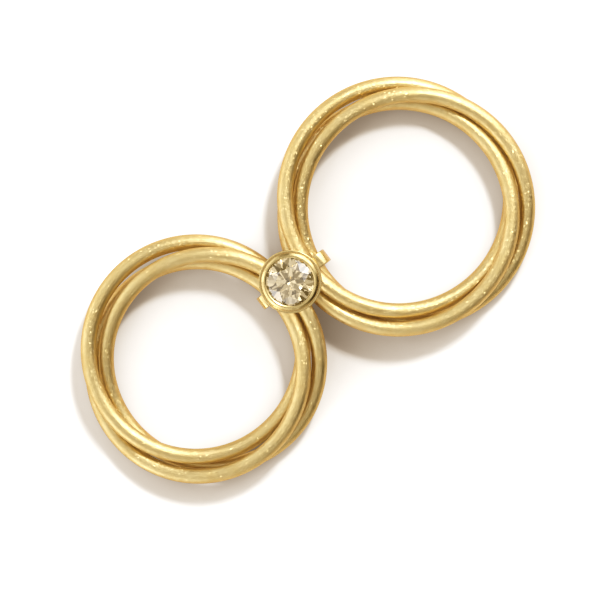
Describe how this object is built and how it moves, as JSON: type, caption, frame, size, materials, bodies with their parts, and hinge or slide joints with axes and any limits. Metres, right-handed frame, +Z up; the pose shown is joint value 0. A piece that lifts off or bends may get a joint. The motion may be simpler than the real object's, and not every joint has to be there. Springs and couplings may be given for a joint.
{
  "type": "russian wedding ring",
  "caption": "Figure-of-eight ring: two finger loops of interlinked round gold wire hoops, tied by a bail with a rub-over set round stone; each loop folds down in the bail.",
  "frame": {"origin": "middle of the bail's flat underside, on the surface that the open ring lies on", "axes": "+X along the two loops, towards the larger right-hand one; +Y across them in the resting plane; +Z up, out through the stone's table"},
  "size_m": [0.047, 0.0242, 0.008],
  "materials": {
    "satin_gold": "18 carat yellow gold wire, satin brushed along its length",
    "polished_gold": "18 carat yellow gold, polished",
    "stone": "clear, faintly champagne stone, round brilliant cut, polished facets"
  },
  "bodies": {
    "setting": {"setting": "polished_gold", "stone": "stone"},
    "left_set": {"left_hoop_1": "satin_gold", "left_hoop_2": "satin_gold", "left_hoop_3": "satin_gold"},
    "right_set": {"right_hoop_1": "satin_gold", "right_hoop_2": "satin_gold", "right_hoop_3": "satin_gold"}
  },
  "joints": [
    {"name": "left_fold", "type": "hinge", "parent": "setting", "child": "left_set", "pos_m": [-0.00135, 0, 0.00239], "axis": [0, -1, 0], "range_deg": [0, 80]},
    {"name": "right_fold", "type": "hinge", "parent": "setting", "child": "right_set", "pos_m": [0.0015, 0, 0.00252], "axis": [0, 1, 0], "range_deg": [0, 80]}
  ]
}
